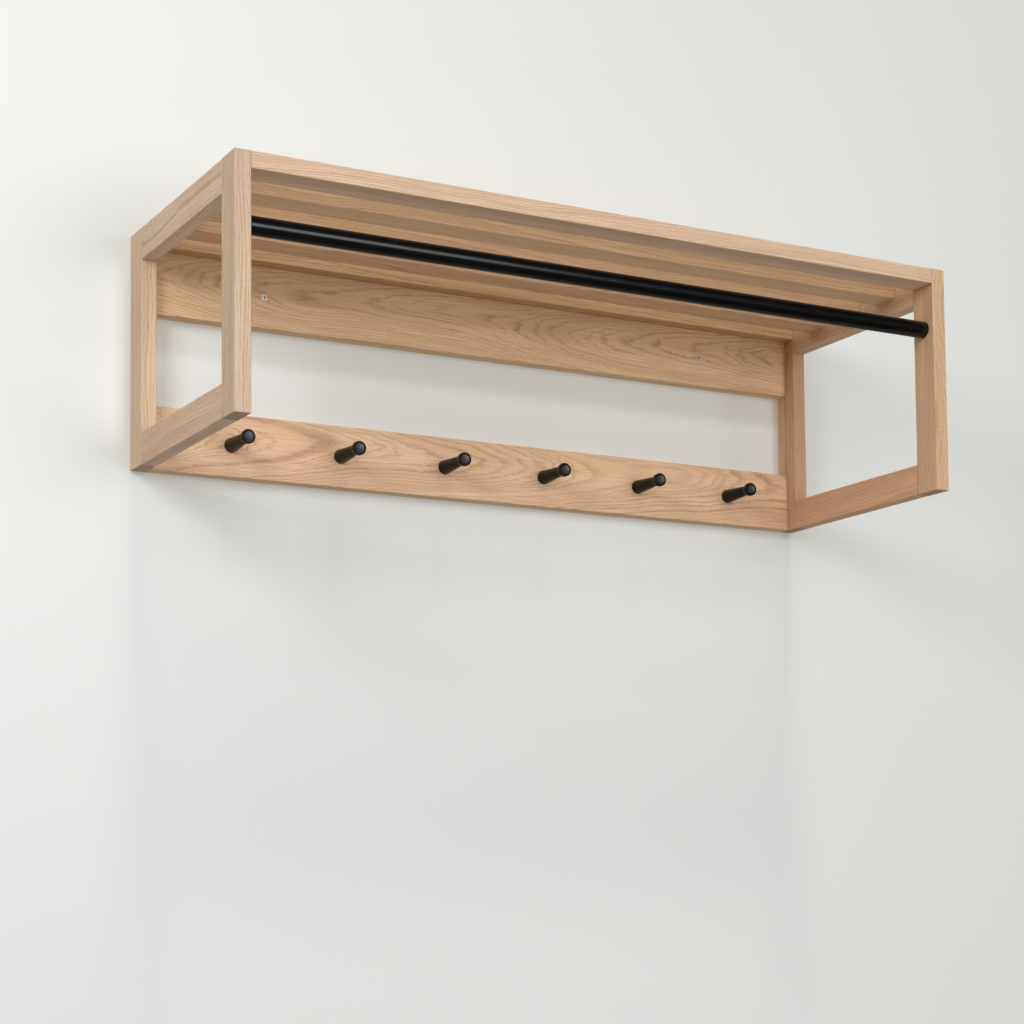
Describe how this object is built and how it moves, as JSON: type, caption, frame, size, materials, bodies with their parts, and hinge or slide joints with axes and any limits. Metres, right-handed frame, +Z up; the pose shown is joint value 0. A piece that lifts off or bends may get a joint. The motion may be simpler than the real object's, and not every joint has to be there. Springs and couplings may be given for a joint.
{
  "type": "wall hook rack",
  "caption": "Wall-mounted oak coat rack: slatted hat shelf between two open side frames, black hanging rod under the front edge, black turned coat pegs on a lower board.",
  "frame": {"origin": "middle of the upper back board's rear face, on the wall plane", "axes": "+X along the rack to the right as seen from the room, +Y into the wall, +Z up"},
  "size_m": [1, 0.375, 0.295],
  "materials": {
    "oak": "light oiled oak, planed, open pores, matt",
    "beech": "plain beech, unfinished, hidden in the joints",
    "rod_black": "black powder coat, satin",
    "peg_black": "black powder coat, satin",
    "screw_steel": "bright zinc plated"
  },
  "bodies": {
    "root": {"left_front_upright": "oak", "left_rear_upright": "oak", "left_top_rail": "oak", "left_bottom_rail": "oak", "right_front_upright": "oak", "right_rear_upright": "oak", "right_top_rail": "oak", "right_bottom_rail": "oak", "front_rail": "oak", "shelf_slat_1": "oak", "shelf_slat_2": "oak", "shelf_slat_3": "oak", "shelf_slat_4": "oak", "upper_back_board": "oak", "lower_back_board": "oak", "left_front_top_tenon": "beech", "left_front_bottom_tenon": "beech", "left_rear_top_tenon": "beech", "left_rear_bottom_tenon": "beech", "right_front_top_tenon": "beech", "right_front_bottom_tenon": "beech", "right_rear_top_tenon": "beech", "right_rear_bottom_tenon": "beech", "front_rail_left_tenon": "beech", "front_rail_right_tenon": "beech", "shelf_slat_1_left_tenon": "beech", "shelf_slat_1_right_tenon": "beech", "shelf_slat_2_left_tenon": "beech", "shelf_slat_2_right_tenon": "beech", "shelf_slat_3_left_tenon": "beech", "shelf_slat_3_right_tenon": "beech", "shelf_slat_4_left_tenon": "beech", "shelf_slat_4_right_tenon": "beech", "upper_back_board_left_tenon": "beech", "upper_back_board_right_tenon": "beech", "lower_back_board_left_tenon": "beech", "lower_back_board_right_tenon": "beech", "hanging_rod": "rod_black", "rod_spigot_left": "screw_steel", "rod_spigot_right": "screw_steel", "coat_peg_1": "peg_black", "coat_peg_2": "peg_black", "coat_peg_3": "peg_black", "coat_peg_4": "peg_black", "coat_peg_5": "peg_black", "coat_peg_6": "peg_black", "peg_screw_1": "screw_steel", "peg_screw_2": "screw_steel", "peg_screw_3": "screw_steel", "peg_screw_4": "screw_steel", "peg_screw_5": "screw_steel", "peg_screw_6": "screw_steel", "wall_screw_left": "screw_steel", "wall_screw_right": "screw_steel"}
  },
  "joints": []
}
